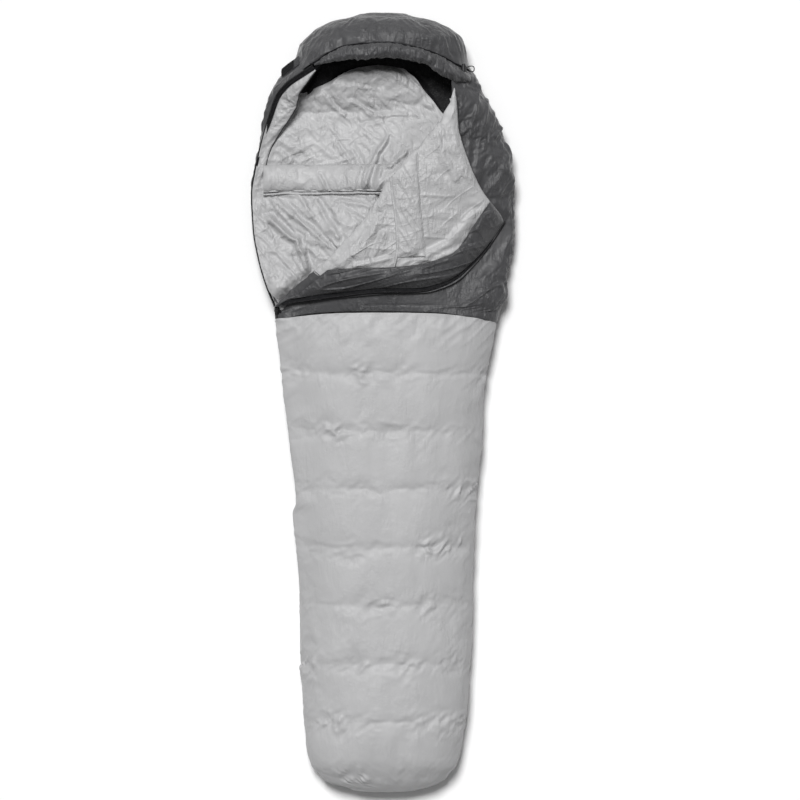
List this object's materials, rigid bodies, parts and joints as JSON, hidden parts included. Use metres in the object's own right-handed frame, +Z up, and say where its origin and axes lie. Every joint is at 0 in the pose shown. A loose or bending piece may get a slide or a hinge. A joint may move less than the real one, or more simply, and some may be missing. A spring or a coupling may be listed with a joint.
{
  "type": "mummy sleeping bag",
  "caption": "Down mummy sleeping bag on its back, side zip part open, front flap folded back, with padded hood, draft collar, hook-and-loop tab and hood drawcord with cord lock.",
  "frame": {"origin": "under the middle of the bag, on the surface that its back lies on", "axes": "+Y towards the hood, +X away from the zip side, +Z up, out of the front"},
  "size_m": [0.738, 2.15, 0.209],
  "materials": {
    "shell_dark": "satin",
    "shell_light": "satin",
    "lining": "satin",
    "down": "matte",
    "baffle": "matte",
    "zip_tape": "matte",
    "zip_coil": "satin",
    "slider": "satin",
    "webbing": "matte",
    "hook_patch": "matte",
    "loop_patch": "matte",
    "cord": "matte",
    "cord_lock": "satin",
    "spring_steel": "satin"
  },
  "bodies": {
    "bag": {"back_baffles": "baffle", "back_down": "down", "back_lining": "lining", "back_lower_shell": "shell_light", "back_upper_shell": "shell_dark", "closed_zip_coils": "zip_coil", "closed_zip_tapes": "zip_tape", "cord_lock_barrel": "cord_lock", "cord_lock_spring": "spring_steel", "draft_collar": "lining", "draft_tube": "lining", "drawcord_loop": "cord", "foot_down": "down", "foot_shell": "shell_light", "hood_brim": "shell_dark", "hood_down": "down", "hood_lining": "shell_dark", "hood_piping": "cord", "hood_shell": "shell_dark", "lower_front_baffles": "baffle", "lower_front_down": "down", "lower_front_lining": "lining", "lower_front_shell": "shell_light", "open_zip_coil": "zip_coil", "open_zip_tape": "zip_tape", "shoulder_down": "down", "shoulder_lining": "lining", "shoulder_shell": "shell_dark", "zip_side_down": "down", "zip_side_lining": "lining", "zip_side_shell": "shell_dark", "zip_stop": "zip_coil"},
    "front_flap": {"flap_collar": "lining", "flap_down": "down", "flap_facing": "shell_dark", "flap_lining": "lining", "flap_loop_patch": "loop_patch", "flap_shell": "shell_dark", "flap_zip_coil": "zip_coil", "flap_zip_tape": "zip_tape"},
    "slider": {"zip_slider": "slider"},
    "pull": {"zip_pull": "slider"},
    "tab": {"tab_webbing": "webbing", "tab_hook_patch": "hook_patch"},
    "lock_button": {"cord_lock_button": "cord_lock"}
  },
  "joints": [
    {"name": "flap_fold", "type": "hinge", "parent": "bag", "child": "front_flap", "pos_m": [-0.3, 0.262, 0.14], "axis": [-0.6423, -0.7653, -0.0419], "range_deg": [0, 185]},
    {"name": "zip_slide", "type": "slide", "parent": "bag", "child": "slider", "axis": [0.1191, -0.9929, 0], "range_m": [0, 0.52]},
    {"name": "pull_swing", "type": "hinge", "parent": "slider", "child": "pull", "pos_m": [-0.29603, 0.25156, 0.07832], "axis": [-0.6113, -0.0733, -0.788], "range_deg": [0, 170]},
    {"name": "tab_swing", "type": "hinge", "parent": "bag", "child": "tab", "pos_m": [-0.23347, 0.94833, 0.12204], "axis": [-0.0267, 0.7012, -0.7124], "range_deg": [0, 150]},
    {"name": "lock_press", "type": "slide", "parent": "bag", "child": "lock_button", "axis": [0, -1, 0], "range_m": [0, 0.003], "stiffness_N_per_m": 300, "springref_m": -0.002}
  ]
}
